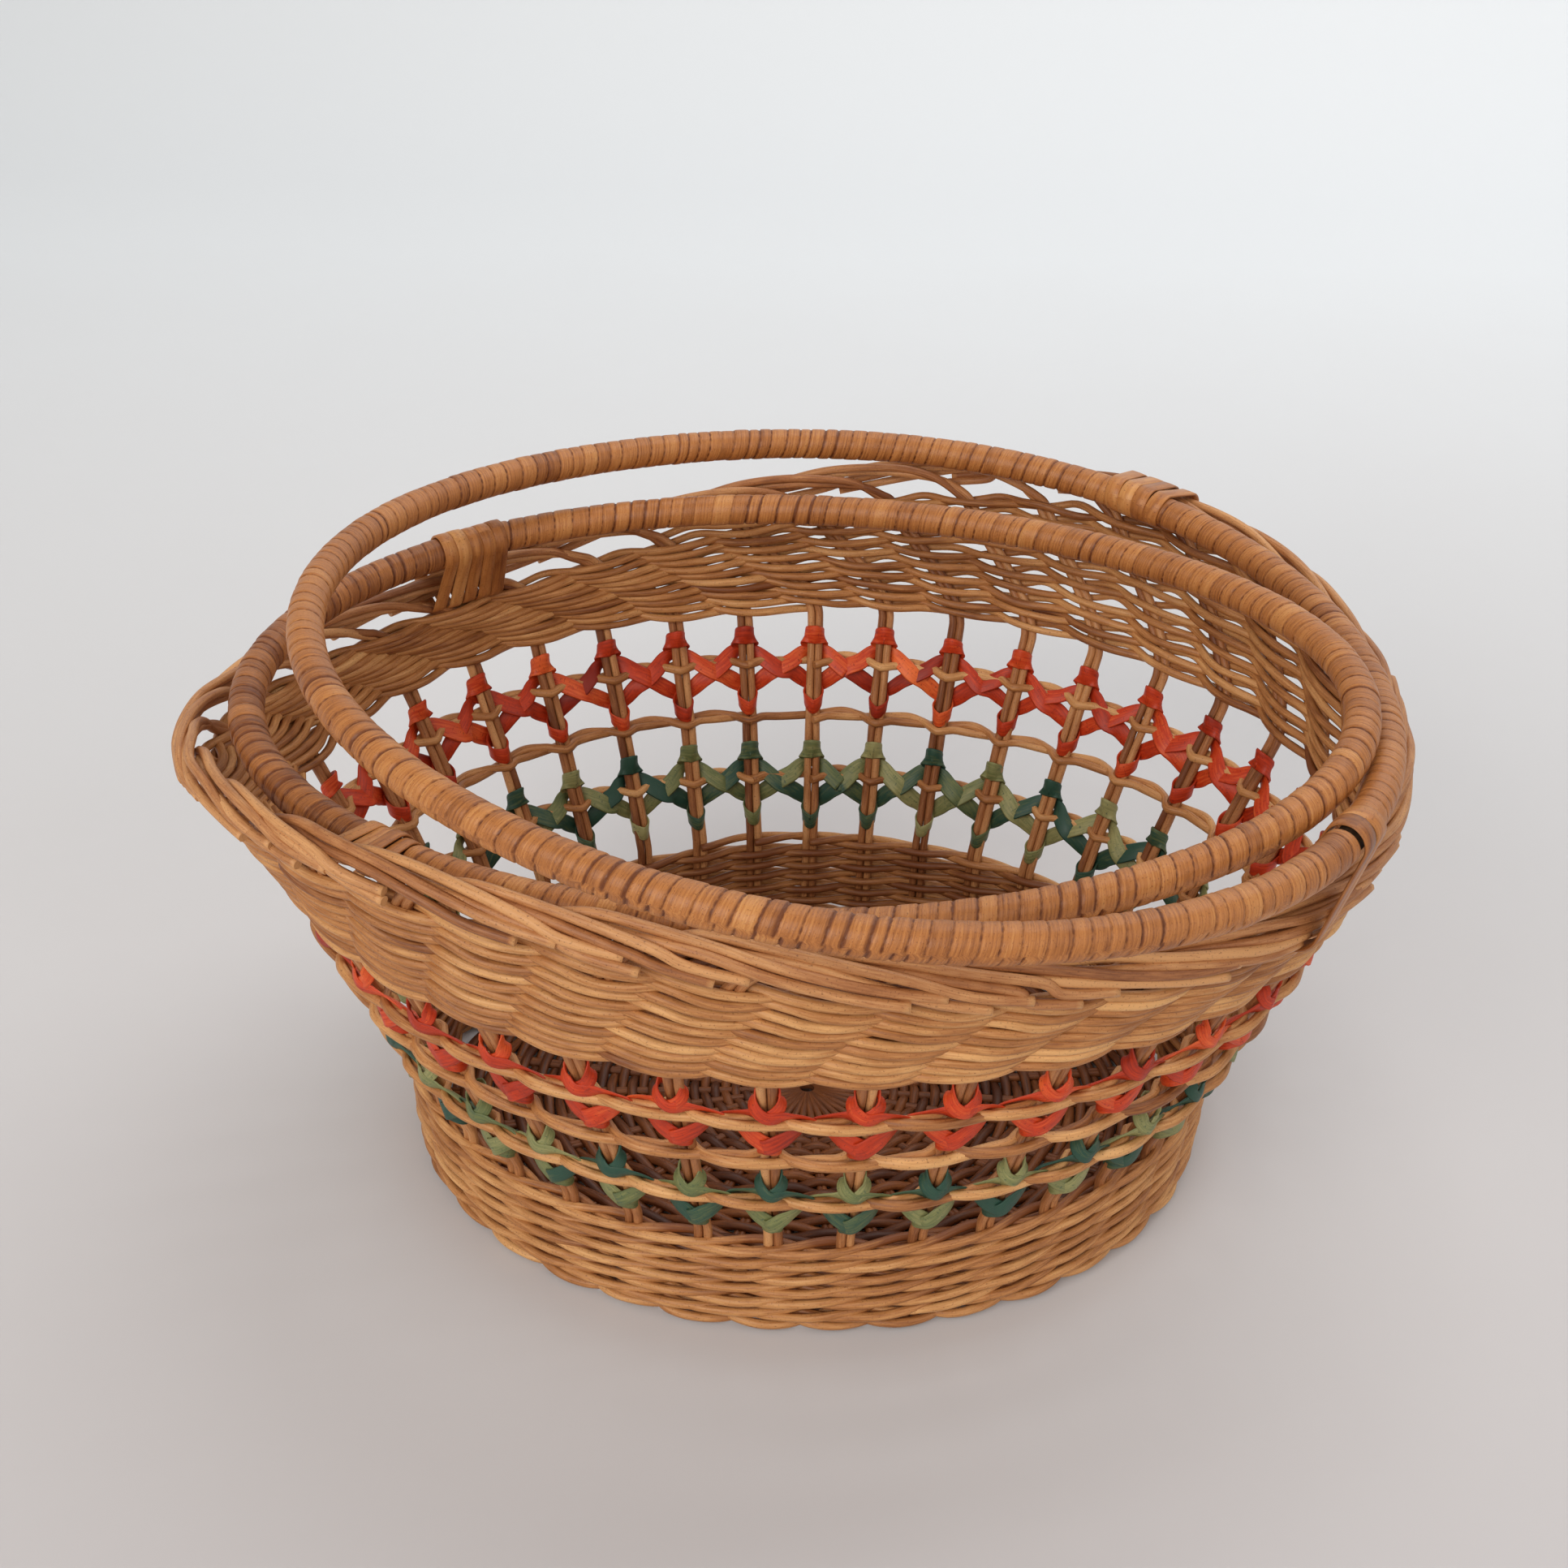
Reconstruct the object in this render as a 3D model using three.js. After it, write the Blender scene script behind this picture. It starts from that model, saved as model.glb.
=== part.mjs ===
// An open oval basket of round reed: a mat floor, stakes in pairs, a dense foot band, an open
// lattice with two crossed colour strips, a dense upper band, a rolled border and two wrapped
// hoop handles that lie folded on the border. Millimetres, +Z up, origin at the middle of the
// underside, +X to the right-hand end, -Y to the front.
import * as THREE from 'three';

// ---- Driving dimensions ----
const STAKE_COUNT = 35;
const STAKE_HALF_WIDTH = 2.4;
const STAKE_HALF_DEPTH = 1.2;
const GAP = 0.3;

// The wall's stake surface as an oval at five heights: height, half width, half depth.
const WALL_LEVELS = [
  { z: 0, a: 105, b: 84 },
  { z: 31.7, a: 106.5, b: 85.2 },
  { z: 67.9, a: 120, b: 96 },
  { z: 97.8, a: 132.4, b: 105.9 },
  { z: 132.4, a: 145.7, b: 114.8 },
];
const FOOT_TOP = WALL_LEVELS[1].z;
const LATTICE_TOP = WALL_LEVELS[3].z;
const BORDER_Z = WALL_LEVELS[4].z;
const BAND_TOP = 124;
const STAKE_TOP = 127.4;

// The rim is less regular than the foot: it is moved, turned, wider at the right and
// it rises and falls like a saddle. All four grow from nothing at the top of the lattice.
const RIM_SHIFT = -4.1;
const RIM_TURN = 0.2;
const RIM_EGG = 0.12;
const RIM_SADDLE = 8.9;
const RIM_END_LIFT = 1;

const FOOT_DEPTH = 3;
const BAND_DEPTH = 3.1;
const BORDER_RADIUS = 4.5;
const FLOOR_Z = 0;
const FLOOR_THICKNESS = 4;

const STRIP_WIDTH = 4.6;
const STRIP_THICKNESS = 0.6;
const GREEN_ROW = { z: 50, rise: 6.5 };
const ORANGE_ROW = { z: 84, rise: 7.5 };
const TWINE_HALF_HEIGHT = 1.5;
const TWINE_DEPTH = 2.6;

const CORE_RADIUS = 3.4;
const WRAP_INNER = CORE_RADIUS + GAP;
const WRAP_OUTER = 4.3;
const LASHED_LENGTH = 7;
const HOOP_STEPS = 36;

// Each hoop is a bent, nearly level oval: its middle, half axes, turn in plan, slopes along X
// and Y, how far it rises and falls twice round (wave 0 and 1) and three times round (2 and 3),
// the share by which it swells three times round, and how far along X it is lashed to the
// border, front and back. Each hoop's long part ends on top of the other's short part.
const LOWER_HOOP = {
  name: 'lower_handle', middle: new THREE.Vector3(-8.4, -10.6, 141.9), a: 130.0, b: 94.8,
  turn: -0.152, slopeX: 0.048, slopeY: 0.016,
  wave: [2.8, 1.1, 0.4, -0.4], swell: [0.019, -0.016], lashedX: -98,
};
const UPPER_HOOP = {
  name: 'upper_handle', middle: new THREE.Vector3(9.2, -8.3, 152.6), a: 125.7, b: 121.3,
  turn: 0.345, slopeX: -0.082, slopeY: -0.024,
  wave: [0.7, 0.5, -0.4, 0.3], swell: [-0.01, 0.015], lashedX: 100,
};

const TURN = Math.PI * 2;
const basket = new THREE.Group();

// ---- Materials ----
function cane(color, roughness) {
  return new THREE.MeshStandardMaterial({ color, roughness, metalness: 0 });
}
const reedMaterial = cane(0xc89a62, 0.6);
const stakeMaterial = cane(0xb98850, 0.6);
const greenMaterial = cane(0x8c8f5a, 0.65);
const orangeMaterial = cane(0xcd4a26, 0.6);
const hoopMaterial = cane(0xb57a45, 0.5);
const coreMaterial = cane(0x6b4a2e, 0.75);

// ---- The wall's shape ----
function levelAt(z) {
  const top = WALL_LEVELS.findIndex((level) => level.z >= z);
  const upper = WALL_LEVELS[top < 1 ? 1 : top];
  const lower = WALL_LEVELS[WALL_LEVELS.indexOf(upper) - 1];
  const share = (z - lower.z) / (upper.z - lower.z);
  return {
    a: THREE.MathUtils.lerp(lower.a, upper.a, share),
    b: THREE.MathUtils.lerp(lower.b, upper.b, share),
  };
}

// A point of the wall at an angle and a height, moved outward in plan.
function wallPoint(angle, z, outward) {
  const { a, b } = levelAt(z);
  const rim = THREE.MathUtils.smoothstep(z, LATTICE_TOP, BORDER_Z);
  const x = (a + outward) * Math.cos(angle);
  const y = (b + outward) * Math.sin(angle) * (1 + RIM_EGG * rim * Math.cos(angle));
  const turn = RIM_TURN * rim;
  const lift = RIM_SADDLE * Math.sin(2 * angle) + RIM_END_LIFT * Math.cos(2 * angle);
  return new THREE.Vector3(
    RIM_SHIFT * rim + x * Math.cos(turn) - y * Math.sin(turn),
    x * Math.sin(turn) + y * Math.cos(turn),
    z + rim * lift,
  );
}

// Angles that space the stakes evenly along the oval at mid height, the first at the back.
function evenAngles(count) {
  const { a, b } = WALL_LEVELS[2];
  const fine = 3600;
  const lengths = [0];
  for (let i = 0; i < fine; i += 1) {
    const angle = Math.PI / 2 + ((i + 0.5) / fine) * TURN;
    const speed = Math.hypot(a * Math.sin(angle), b * Math.cos(angle));
    lengths.push(lengths[i] + speed);
  }
  const angles = [];
  for (let k = 0; k < count; k += 1) {
    const goal = (lengths[fine] * k) / count;
    const i = lengths.findIndex((length) => length >= goal);
    angles.push(Math.PI / 2 + (i / fine) * TURN);
  }
  return angles;
}
const stakeAngles = evenAngles(STAKE_COUNT);
const halfAngles = evenAngles(STAKE_COUNT * 2);

// ---- Solids ----
// A closed solid through matching sections, each a list of points in order around it.
// A ring joins its last section to its first. Any other solid is closed by flat ends.
function loft(sections, ring) {
  const count = sections[0].length;
  const positions = sections.flat().flatMap((point) => [point.x, point.y, point.z]);
  const indices = [];
  const joins = ring ? sections.length : sections.length - 1;
  for (let s = 0; s < joins; s += 1) {
    const next = (s + 1) % sections.length;
    for (let i = 0; i < count; i += 1) {
      const j = (i + 1) % count;
      const corners = [s * count + i, s * count + j, next * count + j, next * count + i];
      indices.push(corners[0], corners[1], corners[2], corners[0], corners[2], corners[3]);
    }
  }
  if (!ring) {
    const last = (sections.length - 1) * count;
    for (let i = 1; i < count - 1; i += 1) {
      indices.push(0, i + 1, i, last, last + i, last + i + 1);
    }
  }
  const geometry = new THREE.BufferGeometry();
  geometry.setAttribute('position', new THREE.Float32BufferAttribute(positions, 3));
  geometry.setIndex(indices);
  return faceOut(geometry);
}

// Turns every triangle round where the solid's volume comes out negative.
function faceOut(geometry) {
  const index = geometry.getIndex();
  const position = geometry.getAttribute('position');
  const [p, q, r] = [new THREE.Vector3(), new THREE.Vector3(), new THREE.Vector3()];
  let volume = 0;
  for (let i = 0; i < index.count; i += 3) {
    p.fromBufferAttribute(position, index.getX(i));
    q.fromBufferAttribute(position, index.getX(i + 1));
    r.fromBufferAttribute(position, index.getX(i + 2));
    volume += p.dot(q.cross(r));
  }
  if (volume < 0) {
    for (let i = 0; i < index.count; i += 3) {
      const second = index.getX(i + 1);
      index.setX(i + 1, index.getX(i + 2));
      index.setX(i + 2, second);
    }
  }
  geometry.computeVertexNormals();
  return geometry;
}

function addPiece(name, geometry, material) {
  const mesh = new THREE.Mesh(geometry, material);
  mesh.name = name;
  basket.add(mesh);
}

// A band round the wall between two depths, following the heights given.
function wallBand(angles, heights, inner, outer) {
  const sections = angles.map((angle) => [
    ...heights.map((z) => wallPoint(angle, z, outer)),
    ...[...heights].reverse().map((z) => wallPoint(angle, z, inner)),
  ]);
  return loft(sections, true);
}

// ---- Basket pieces ----
function makeFloor() {
  const edge = FOOT_DEPTH;
  const rim = (z) => stakeAngles.map((angle) => wallPoint(angle, z, -edge));
  const mat = loft([rim(FLOOR_Z), rim(FLOOR_Z + FLOOR_THICKNESS)], false);
  addPiece('floor_mat', mat, reedMaterial);
}

function makeStakes() {
  const heights = [0.6, FOOT_TOP, WALL_LEVELS[2].z, LATTICE_TOP, 106, 115, BAND_TOP, STAKE_TOP];
  stakeAngles.forEach((angle, k) => {
    const sections = heights.map((z) => {
      const middle = wallPoint(angle, z, 0);
      const side = wallPoint(angle + 0.01, z, 0).sub(wallPoint(angle - 0.01, z, 0)).normalize();
      const out = new THREE.Vector3(side.y, -side.x, 0).normalize();
      const corner = (across, deep) => middle.clone()
        .addScaledVector(side, across * STAKE_HALF_WIDTH)
        .addScaledVector(out, deep * STAKE_HALF_DEPTH);
      return [
        corner(-1, 0), corner(-0.5, 1), corner(0.5, 1),
        corner(1, 0), corner(0.5, -1), corner(-0.5, -1),
      ];
    });
    const name = `stake_pair_${String(k + 1).padStart(2, '0')}`;
    addPiece(name, loft(sections, false), stakeMaterial);
  });
}

function makeBands() {
  const inner = STAKE_HALF_DEPTH + GAP;
  const footRows = [0, FOOT_TOP - 1.5];
  addPiece('foot_band', wallBand(stakeAngles, footRows, inner, inner + FOOT_DEPTH), reedMaterial);
  const upperRows = [LATTICE_TOP, 106, 115, BAND_TOP];
  const upper = wallBand(stakeAngles, upperRows, inner, inner + BAND_DEPTH);
  addPiece('upper_band', upper, reedMaterial);
}

// The border is a rolled bundle of reed, round in section.
function makeBorder() {
  const sides = 6;
  const sections = halfAngles.map((angle) => {
    const middle = wallPoint(angle, BORDER_Z, 0);
    const side = wallPoint(angle + 0.01, BORDER_Z, 0).sub(wallPoint(angle - 0.01, BORDER_Z, 0));
    const out = new THREE.Vector3(side.y, -side.x, 0).normalize();
    const up = side.normalize().clone().cross(out).normalize();
    const points = [];
    for (let i = 0; i < sides; i += 1) {
      const around = (i / sides) * TURN;
      points.push(middle.clone()
        .addScaledVector(out, BORDER_RADIUS * Math.cos(around))
        .addScaledVector(up, BORDER_RADIUS * Math.sin(around)));
    }
    return points;
  });
  addPiece('rolled_border', loft(sections, true), reedMaterial);
}

function makeTwine(name, z, inner) {
  const rows = [z - TWINE_HALF_HEIGHT, z + TWINE_HALF_HEIGHT];
  addPiece(name, wallBand(stakeAngles, rows, inner, inner + TWINE_DEPTH), reedMaterial);
}

// One flat strip goes twice round the stakes, up and down in turn. The stakes are odd in
// number, so its second turn crosses its first between every two stakes.
function makeStrip(name, row, material) {
  const sections = [];
  const passes = STAKE_COUNT * 2;
  for (let pass = 0; pass < passes; pass += 1) {
    const angle = stakeAngles[pass % STAKE_COUNT];
    const layer = pass < STAKE_COUNT ? 0 : 1;
    const inner = STAKE_HALF_DEPTH + GAP + layer * (STRIP_THICKNESS + GAP);
    const z = row.z + (pass % 2 ? -row.rise : row.rise);
    const [low, high] = [z - STRIP_WIDTH / 2, z + STRIP_WIDTH / 2];
    sections.push([
      wallPoint(angle, low, inner), wallPoint(angle, low, inner + STRIP_THICKNESS),
      wallPoint(angle, high, inner + STRIP_THICKNESS), wallPoint(angle, high, inner),
    ]);
  }
  addPiece(name, loft(sections, false), material);
}

function makeLattice() {
  const overStake = STAKE_HALF_DEPTH + GAP;
  const overStrips = overStake + 2 * (STRIP_THICKNESS + GAP);
  makeTwine('twined_row_green', GREEN_ROW.z, overStrips);
  makeTwine('twined_row_middle', WALL_LEVELS[2].z, overStake);
  makeTwine('twined_row_orange', ORANGE_ROW.z, overStrips);
  makeStrip('green_strip', GREEN_ROW, greenMaterial);
  makeStrip('orange_strip', ORANGE_ROW, orangeMaterial);
}

// ---- Hoop handles ----
function hoopPoint(hoop, angle) {
  const [cos2, sin2] = [Math.cos(2 * angle), Math.sin(2 * angle)];
  const [cos3, sin3] = [Math.cos(3 * angle), Math.sin(3 * angle)];
  const size = 1 + hoop.swell[0] * cos3 + hoop.swell[1] * sin3;
  const flat = new THREE.Vector2(hoop.a * Math.cos(angle), hoop.b * Math.sin(angle));
  flat.multiplyScalar(size).rotateAround(new THREE.Vector2(), hoop.turn);
  const [twiceCos, twiceSin, thriceCos, thriceSin] = hoop.wave;
  const wave = twiceCos * cos2 + twiceSin * sin2 + thriceCos * cos3 + thriceSin * sin3;
  const lift = hoop.slopeX * flat.x + hoop.slopeY * flat.y + wave;
  return hoop.middle.clone().add(new THREE.Vector3(flat.x, flat.y, lift));
}

// The border's point where the hoop is lashed, at the back (side 1) or the front (side -1):
// the middle of the gap between two stakes that comes nearest to the hoop's lashing place.
function lashedBorderPoint(hoop, side) {
  const middles = stakeAngles.map((angle, k) => {
    const next = k + 1 < STAKE_COUNT ? stakeAngles[k + 1] : stakeAngles[0] + TURN;
    return wallPoint((angle + next) / 2, BORDER_Z, 0);
  });
  const away = (point) => Math.abs(point.x - hoop.lashedX) + (point.y * side < 0 ? 1000 : 0);
  return middles.reduce((best, point) => (away(point) < away(best) ? point : best));
}

// The hoop's angle where it comes nearest to a point.
function nearestAngle(hoop, point) {
  const fine = 3600;
  let best = 0;
  let miss = Infinity;
  for (let i = 0; i < fine; i += 1) {
    const angle = (i / fine) * TURN;
    const away = hoopPoint(hoop, angle).distanceTo(point);
    if (away < miss) [best, miss] = [angle, away];
  }
  return best;
}

function hoopSection(hoop, angle, radius) {
  const along = hoopPoint(hoop, angle + 0.01).sub(hoopPoint(hoop, angle - 0.01)).normalize();
  const up = new THREE.Vector3(-hoop.slopeX, -hoop.slopeY, 1).normalize();
  const out = along.clone().cross(up).normalize();
  const sides = 8;
  const points = [];
  for (let i = 0; i < sides; i += 1) {
    const around = (i / sides) * TURN;
    points.push(hoopPoint(hoop, angle)
      .addScaledVector(out, radius * Math.cos(around))
      .addScaledVector(up, radius * Math.sin(around)));
  }
  return points;
}

function spread(start, end) {
  const steps = Math.max(4, Math.round(((end - start) / TURN) * HOOP_STEPS));
  return Array.from({ length: steps + 1 }, (_, s) => start + ((end - start) * s) / steps);
}

// The wrap is a sleeve along part of the hoop: each of its sections runs out along the
// outside and back along the inside, at one place around the rod.
function wrapSleeve(hoop, angles) {
  const outside = angles.map((angle) => hoopSection(hoop, angle, WRAP_OUTER));
  const inside = angles.map((angle) => hoopSection(hoop, angle, WRAP_INNER)).reverse();
  const sections = outside[0].map((_, i) => [...outside, ...inside].map((ring) => ring[i]));
  return loft(sections, true);
}

function makeHoop(hoop) {
  const borderBack = lashedBorderPoint(hoop, 1);
  const borderFront = lashedBorderPoint(hoop, -1);
  const back = nearestAngle(hoop, borderBack);
  const front = nearestAngle(hoop, borderFront) - TURN;
  const speed = hoopPoint(hoop, back + 0.005).distanceTo(hoopPoint(hoop, back - 0.005)) / 0.01;
  const bare = LASHED_LENGTH / speed;
  const right = spread(front + bare, back - bare);
  const left = spread(back + bare, front + TURN - bare);
  const rod = [...right, ...left].map((angle) => hoopSection(hoop, angle, CORE_RADIUS));
  addPiece(`${hoop.name}_core`, loft(rod, true), coreMaterial);
  const [long, short] = hoop.lashedX < 0 ? [right, left] : [left, right];
  addPiece(`${hoop.name}_long_wrap`, wrapSleeve(hoop, long), hoopMaterial);
  addPiece(`${hoop.name}_short_wrap`, wrapSleeve(hoop, short), hoopMaterial);
  makeLashing(hoop, back, borderBack, 'back');
  makeLashing(hoop, front, borderFront, 'front');
}

// A loop of cane round the border and the hoop's bare core, slack enough to let it turn.
function makeLashing(hoop, angle, border, place) {
  const core = hoopPoint(hoop, angle);
  const across = core.clone().sub(border).normalize();
  const along = hoopPoint(hoop, angle + 0.01).sub(core);
  along.addScaledVector(across, -along.dot(across)).normalize();
  const up = across.clone().cross(along);
  const [borderSlack, coreSlack, thickness, halfWidth] = [5.2, 5.8, 1, 1.3];
  const corners = 14;
  const sections = [];
  for (let i = 0; i < corners; i += 1) {
    const around = ((i + 0.5) / corners) * TURN;
    const out = across.clone().multiplyScalar(Math.cos(around))
      .addScaledVector(up, Math.sin(around));
    const overCore = core.dot(out) + coreSlack > border.dot(out) + borderSlack;
    const foot = overCore ? core : border;
    const radius = overCore ? coreSlack : borderSlack;
    const corner = (extra, side) => foot.clone()
      .addScaledVector(out, radius + extra).addScaledVector(along, side * halfWidth);
    sections.push([corner(0, -1), corner(thickness, -1), corner(thickness, 1), corner(0, 1)]);
  }
  addPiece(`${hoop.name}_lashing_${place}`, loft(sections, true), hoopMaterial);
}

makeFloor();
makeStakes();
makeBands();
makeLattice();
makeBorder();
makeHoop(LOWER_HOOP);
makeHoop(UPPER_HOOP);

export default basket;
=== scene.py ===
import math

import bpy
import numpy as np
from mathutils import Matrix, Vector


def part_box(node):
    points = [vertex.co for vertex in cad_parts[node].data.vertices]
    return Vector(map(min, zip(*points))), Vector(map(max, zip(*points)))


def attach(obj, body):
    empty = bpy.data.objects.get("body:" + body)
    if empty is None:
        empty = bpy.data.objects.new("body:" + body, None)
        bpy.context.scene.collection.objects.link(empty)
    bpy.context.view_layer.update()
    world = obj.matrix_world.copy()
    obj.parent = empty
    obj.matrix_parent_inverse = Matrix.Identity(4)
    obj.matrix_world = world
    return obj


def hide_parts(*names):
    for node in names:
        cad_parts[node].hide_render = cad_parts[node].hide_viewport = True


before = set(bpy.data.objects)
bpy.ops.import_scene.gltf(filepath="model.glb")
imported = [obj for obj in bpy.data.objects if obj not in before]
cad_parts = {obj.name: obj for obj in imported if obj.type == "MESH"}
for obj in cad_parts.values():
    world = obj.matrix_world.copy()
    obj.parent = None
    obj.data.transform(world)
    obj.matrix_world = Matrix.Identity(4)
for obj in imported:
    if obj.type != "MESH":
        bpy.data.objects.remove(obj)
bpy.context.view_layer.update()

rng = np.random.default_rng(35)
MM = 0.001
TURN = 2 * math.pi
UP = np.array([0.0, 0.0, 1.0])

# ---- Sizes in millimetres, in the same frame as the CAD part ----
STAKE_COUNT = 35
REED = 1.15                      # radius of the round weaving reed
FINE_REED = 1.17                 # in the upper band
ROW_REED = 1.24                  # in the open rows of the lattice
STAKE_REED = 1.2                 # radius of one of the two reeds in a stake pair
LEVEL_Z = (0, 31.7, 67.9, 97.8, 132.4)
LEVEL_A = (105, 106.5, 120, 132.4, 145.7)
LEVEL_B = (84, 85.2, 96, 105.9, 114.8)
LATTICE_TOP, BORDER_Z = LEVEL_Z[3], LEVEL_Z[4]
RIM_SHIFT, RIM_TURN, RIM_EGG, RIM_SADDLE, RIM_END_LIFT = -4.1, 0.2, 0.12, 8.9, 1
GREEN_Z, MIDDLE_Z, ORANGE_Z = 50, 67.9, 84
CORE_RADIUS, WRAP_RADIUS = 3.4, 4.1
BARE_LENGTH = 5.6                # bare core to each side of a lashing
CANE_WIDTH, CANE_VARIES = 4.1, 0.8
STRIP_HALF_WIDTH, STRIP_HALF_THICK = 2.65, 0.33

# A hoop is a bent oval: slopes along X and Y, how far it rises and falls twice and three
# times round (cosine and sine of each), and the share by which it swells three times round.
# Its lashings say how many turns of cane they have, half the cane's width, and how uneven
# the turns lie. A tucked one takes in only the border's inner strands.
LOWER_HOOP = dict(
    name="lower_handle", middle=(-8.4, -10.6, 141.9), a=130.0, b=94.8, turn=-0.152,
    slope=(0.048, 0.016), wave=(2.8, 1.1, 0.4, -0.4), swell=(0.019, -0.016), lashed=-98,
    back=dict(turns=5, half_width=2.0, slack=0.12),
    front=dict(turns=4, half_width=1.65, slack=0.05, tucked=True),
)
UPPER_HOOP = dict(
    name="upper_handle", middle=(9.2, -8.3, 152.6), a=125.7, b=121.3, turn=0.345,
    slope=(-0.082, -0.024), wave=(0.7, 0.5, -0.4, 0.3), swell=(-0.01, 0.015), lashed=100,
    back=dict(turns=4, half_width=2.3),
    front=dict(turns=2, half_width=2.9, offset=1.2),
)


def ease(share):
    """0 to 1 with a level start and end."""
    return share * share * (3 - 2 * share)


# ---- The wall's shape ----
def wall(angle, z, out=0.0):
    """Points of the stake surface at an angle and a height, moved outward in plan."""
    angle, z, out = np.broadcast_arrays(*map(np.asarray, (angle, z, out)))
    rim = ease(np.clip((z - LATTICE_TOP) / (BORDER_Z - LATTICE_TOP), 0, 1))
    x = (np.interp(z, LEVEL_Z, LEVEL_A) + out) * np.cos(angle)
    y = (np.interp(z, LEVEL_Z, LEVEL_B) + out) * np.sin(angle)
    y = y * (1 + RIM_EGG * rim * np.cos(angle))
    cos, sin = np.cos(RIM_TURN * rim), np.sin(RIM_TURN * rim)
    lift = RIM_SADDLE * np.sin(2 * angle) + RIM_END_LIFT * np.cos(2 * angle)
    return np.stack([RIM_SHIFT * rim + x * cos - y * sin, x * sin + y * cos, z + rim * lift], -1)


def stake_angles():
    """Angles that space the stakes evenly at mid height, the first at the back."""
    a, b = LEVEL_A[2], LEVEL_B[2]
    fine = 3600
    angle = math.pi / 2 + (np.arange(fine) + 0.5) / fine * TURN
    length = np.concatenate([[0], np.cumsum(np.hypot(a * np.sin(angle), b * np.cos(angle)))])
    goal = length[-1] * np.arange(STAKE_COUNT) / STAKE_COUNT
    return math.pi / 2 + np.searchsorted(length, goal) / fine * TURN


STAKES = stake_angles()


def at(u):
    """The wall angle at a place counted in stakes, 0 at the first one and 35 per lap."""
    u = np.asarray(u, float)
    lap = np.floor(u / STAKE_COUNT)
    knots = np.append(STAKES, STAKES[0] + TURN)
    return np.interp(u - lap * STAKE_COUNT, np.arange(STAKE_COUNT + 1), knots) + lap * TURN


def outward(points):
    """Level unit vectors away from the basket's middle line, square to the oval wall."""
    flat = points[:, :2] / np.array([LEVEL_A[2] ** 2, LEVEL_B[2] ** 2])
    normal = np.concatenate([flat, np.zeros((len(flat), 1))], 1)
    return normal / np.linalg.norm(normal, axis=1, keepdims=True)


def wobble(u, amount, step=1.0):
    """A smooth seeded wander along a strand, with a new value at every step."""
    knots = np.arange(math.floor(u.min()), math.ceil(u.max()) + step * 2, step)
    values = rng.normal(0, amount, len(knots))
    place = (u - knots[0]) / step
    low = np.clip(np.floor(place).astype(int), 0, len(knots) - 2)
    share = ease(place - low)
    return values[low] * (1 - share) + values[low + 1] * share


# ---- Swept solids ----
ROUND = [(math.cos(i / 8 * TURN), math.sin(i / 8 * TURN)) for i in range(8)]
FLAT = [(1, 0), (0.86, 0.8), (0, 1.0), (-0.86, 0.8), (-1, 0), (-0.86, -0.8), (0, -1.0), (0.86, -0.8)]


def unit(vectors):
    return vectors / np.maximum(np.linalg.norm(vectors, axis=1, keepdims=True), 1e-9)


def sweep(points, normals, section, width, thick, tone=0.5, closed=False):
    """One strand: a section carried along points. Its second axis is turned to the normals."""
    count = len(points)
    along = np.roll(points, -1, 0) - np.roll(points, 1, 0)
    if not closed:
        along[0], along[-1] = points[1] - points[0], points[-1] - points[-2]
    along = unit(along)
    normals = unit(normals - (normals * along).sum(1, keepdims=True) * along)
    side = np.cross(along, normals)
    section = np.asarray(section, float)
    width = np.broadcast_to(width, count)[:, None, None]
    thick = np.broadcast_to(thick, count)[:, None, None]
    ring = points[:, None, :] + side[:, None, :] * section[None, :, :1] * width
    ring = ring + normals[:, None, :] * section[None, :, 1:] * thick
    length = np.concatenate([[0], np.cumsum(np.linalg.norm(np.diff(points, axis=0), axis=1))])
    tones = np.broadcast_to(tone, count)
    return dict(ring=ring, length=length, tone=tones, closed=closed)


def new_mesh(name, verts, loops, starts, totals, uvs, tones):
    """A mesh from flat arrays: four-sided faces are smooth, the ends of a strand are not."""
    mesh = bpy.data.meshes.new(name)
    mesh.vertices.add(len(verts))
    mesh.vertices.foreach_set("co", verts.ravel())
    mesh.loops.add(len(loops))
    mesh.loops.foreach_set("vertex_index", loops.astype(np.int32))
    mesh.polygons.add(len(totals))
    mesh.polygons.foreach_set("loop_start", starts.astype(np.int32))
    mesh.polygons.foreach_set("loop_total", totals.astype(np.int32))
    mesh.polygons.foreach_set("use_smooth", totals == 4)
    mesh.uv_layers.new(name="UVMap").data.foreach_set("uv", uvs.ravel())
    tone = mesh.attributes.new("tone", "FLOAT", "POINT")
    tone.data.foreach_set("value", tones.astype(np.float32))
    mesh.update()
    mesh.validate()
    return mesh


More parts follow.
